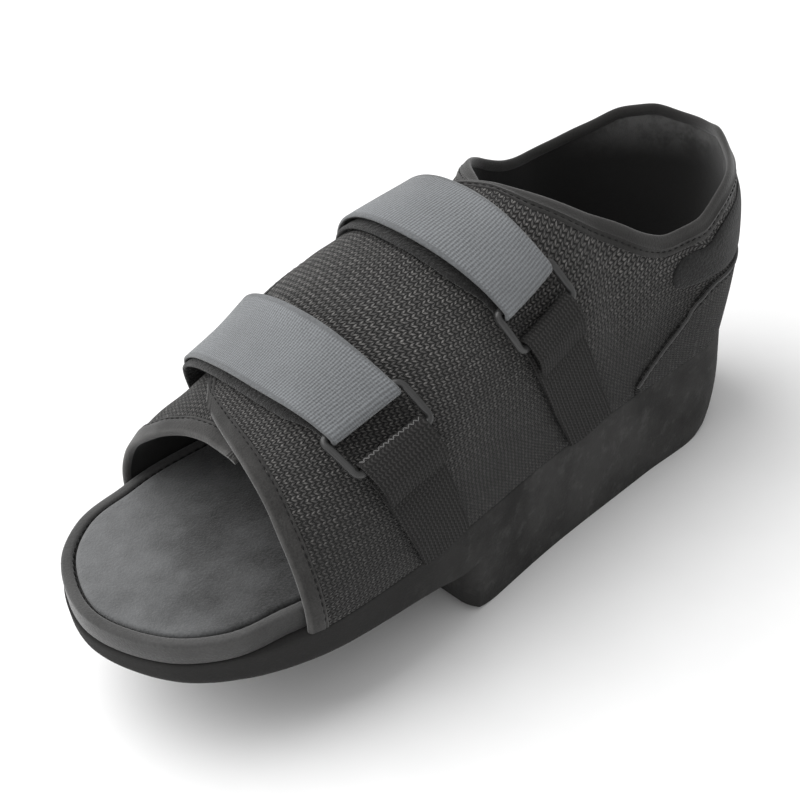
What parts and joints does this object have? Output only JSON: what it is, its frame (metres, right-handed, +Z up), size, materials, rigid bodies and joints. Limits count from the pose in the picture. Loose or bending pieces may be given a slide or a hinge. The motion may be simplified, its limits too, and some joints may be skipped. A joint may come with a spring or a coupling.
{
  "type": "post-operative shoe",
  "caption": "Open-toe wrap shoe on a foam heel block, with a knit upper in two overlapping flaps, bound edges, and loop straps passed through rectangular rings",
  "frame": {"origin": "On the floor, on the flat underside of the heel block, 85 mm from the heel's back on the centre line", "axes": "X runs from heel to toe, Y to the wearer's left (the side with the strap rings), Z up"},
  "size_m": [0.2878, 0.1102, 0.1305],
  "materials": {
    "sole_foam": "matt foam, faintly mottled",
    "footbed_binding": "brushed tape with a stitched groove",
    "insole_suede": "mottled suede",
    "spacer_knit": "coarse open knit with chevron ribs",
    "binding_tape": "smooth brushed tape",
    "heel_felt": "dense looped felt",
    "strap_loop": "woven strap with fine cross ribs",
    "webbing": "knitted webbing",
    "ring_plastic": "satin moulded plastic"
  },
  "bodies": {
    "root": {"outsole": "sole_foam", "footbed": "footbed_binding", "insole": "insole_suede", "upper": "spacer_knit", "collar_binding": "binding_tape", "front_binding_near": "binding_tape", "front_binding_far": "binding_tape", "heel_counter": "spacer_knit", "heel_pad": "heel_felt", "strap_front": "strap_loop", "strap_rear": "strap_loop", "anchor_front": "webbing", "anchor_rear": "webbing", "ring_front": "ring_plastic", "ring_rear": "ring_plastic"}
  },
  "joints": []
}
